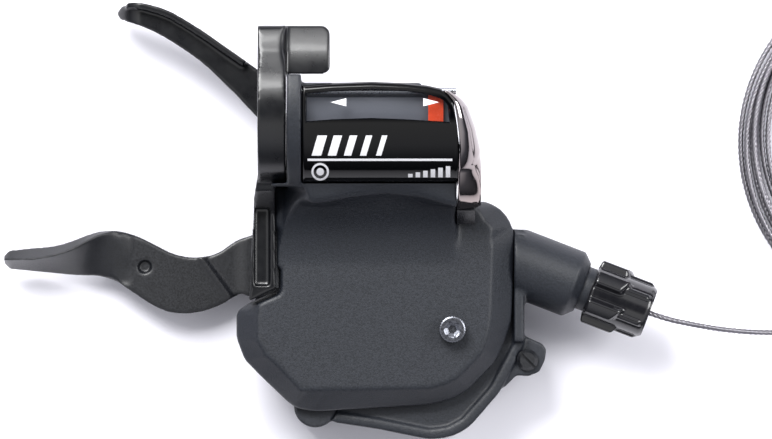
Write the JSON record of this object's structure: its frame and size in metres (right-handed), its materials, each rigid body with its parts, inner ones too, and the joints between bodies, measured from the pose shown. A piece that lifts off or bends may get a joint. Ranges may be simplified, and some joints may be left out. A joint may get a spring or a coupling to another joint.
{
  "type": "thumb shifter",
  "caption": "Left-hand bicycle thumb shifter: bar clamp, gear window over the bar, pod with thumb and release levers, barrel adjuster and a loose inner cable.",
  "frame": {"origin": "centre of the handlebar clamp bore, in the middle of the clamp's ring", "axes": "+X along the handlebar towards the cable exit, +Y from the pod across the bar, +Z out of the gear window; the part lies on the flat bottom of its lower housing"},
  "size_m": [0.2236, 0.0986, 0.0435],
  "materials": {
    "clamp_paint": "gloss black paint on cast aluminium",
    "lever_paint": "gloss black paint on pressed steel",
    "lever_coat": "satin black coating on steel",
    "cover_plastic": "fine-grained charcoal moulding",
    "pad_plastic": "matte black moulding",
    "foot_plastic": "glossy black moulding",
    "smoked_lens": "smoked polycarbonate",
    "dial_plastic": "grey printed strip",
    "pointer_red": "red-orange plastic",
    "cap_chrome": "chromed moulding",
    "bright_steel": "bright zinc-plated steel",
    "plate_steel": "pressed steel",
    "spring_steel": "music wire",
    "bush_brass": "turned brass",
    "collar_plastic": "black acetal",
    "spool_acetal": "natural acetal",
    "cable_steel": "twisted stainless strand"
  },
  "bodies": {
    "root": {"clamp_bracket": "clamp_paint", "upper_cover": "cover_plastic", "lower_housing": "cover_plastic", "boss_plug": "cover_plastic", "end_cap_foot": "foot_plastic", "window_lens": "smoked_lens", "dial_face": "dial_plastic", "end_cap": "cap_chrome", "cover_screw": "bright_steel", "lug_screw": "bright_steel", "housing_screws": "bright_steel", "bracket_screws": "bright_steel", "clamp_bolt": "bright_steel", "indicator_rail": "bright_steel", "lever_pivot_pin": "bright_steel", "main_axle": "bright_steel", "bracket_plate": "plate_steel", "base_plate": "plate_steel", "plate_spacers": "plate_steel", "axle_clip": "plate_steel", "axle_spacer": "plate_steel", "spool_washer": "plate_steel", "pivot_washer": "plate_steel", "lever_stop_pin": "plate_steel", "hold_pawl_pin": "plate_steel", "spool_return_spring": "spring_steel", "lever_return_spring": "spring_steel", "release_spring": "spring_steel", "hold_pawl_spring": "spring_steel", "adjuster_spring": "spring_steel", "adjuster_insert": "bush_brass", "cable_inner": "cable_steel", "cable_tail": "cable_steel", "cable_coil": "cable_steel"},
    "spool": {"spool": "spool_acetal", "ratchet_plate": "plate_steel", "cable_nipple": "cable_steel", "cable_wrap": "cable_steel"},
    "indicator": {"indicator_carriage": "foot_plastic", "indicator_pointer": "pointer_red"},
    "thumb_lever": {"thumb_lever_arm": "lever_coat", "thumb_lever_pad": "pad_plastic", "thumb_lever_bush": "bush_brass", "drive_pawl_pin": "plate_steel"},
    "drive_pawl": {"drive_pawl": "plate_steel"},
    "release_lever": {"release_lever": "lever_paint", "release_bush": "bush_brass"},
    "hold_pawl": {"hold_pawl": "plate_steel"},
    "adjuster_collar": {"adjuster_collar": "collar_plastic"},
    "adjuster": {"adjuster_knob": "foot_plastic", "adjuster_barrel": "bush_brass"}
  },
  "joints": [
    {"name": "thumb_lever_swing", "type": "hinge", "parent": "root", "child": "thumb_lever", "pos_m": [0.009, -0.031, -0.02045], "axis": [0, 0, -1], "range_deg": [0, 26], "stiffness_Nm_per_rad": 0.05, "springref_deg": -34.38},
    {"name": "drive_pawl_swing", "type": "hinge", "parent": "thumb_lever", "child": "drive_pawl", "pos_m": [0.0159, -0.0282, -0.0177], "axis": [0, 0, -1], "range_deg": [0, 6]},
    {"name": "release_lever_swing", "type": "hinge", "parent": "root", "child": "release_lever", "pos_m": [0.009, -0.031, -0.0177], "axis": [0, 0, 1], "range_deg": [0, 9], "stiffness_Nm_per_rad": 0.05, "springref_deg": -28.65},
    {"name": "hold_pawl_swing", "type": "hinge", "parent": "root", "child": "hold_pawl", "pos_m": [0.0135, -0.0465, -0.0177], "axis": [0, 0, -1], "range_deg": [0, 9.2]},
    {"name": "spool_turn", "type": "hinge", "parent": "root", "child": "spool", "pos_m": [0.0276, -0.03655, -0.013], "axis": [0, 0, 1], "range_deg": [0, 66]},
    {"name": "indicator_slide", "type": "slide", "parent": "root", "child": "indicator", "axis": [-1, 0, 0], "range_m": [0, 0.0196]},
    {"name": "adjuster_travel", "type": "slide", "parent": "root", "child": "adjuster_collar", "axis": [0.9336, -0.3584, 0], "range_m": [0, 0.0024]},
    {"name": "adjuster_turn", "type": "hinge", "parent": "adjuster_collar", "child": "adjuster", "pos_m": [0.06774, -0.03803, -0.013], "axis": [0.9336, -0.3584, 0], "range_deg": [0, 1080]}
  ],
  "couplings": [
    {"joint": "drive_pawl_swing", "follows": "thumb_lever_swing", "ratio": 0.23},
    {"joint": "hold_pawl_swing", "follows": "release_lever_swing", "ratio": 1.02},
    {"joint": "indicator_slide", "follows": "spool_turn", "m_per_rad": 0.016928},
    {"joint": "adjuster_turn", "follows": "adjuster_travel", "rad_per_m": 7854}
  ]
}
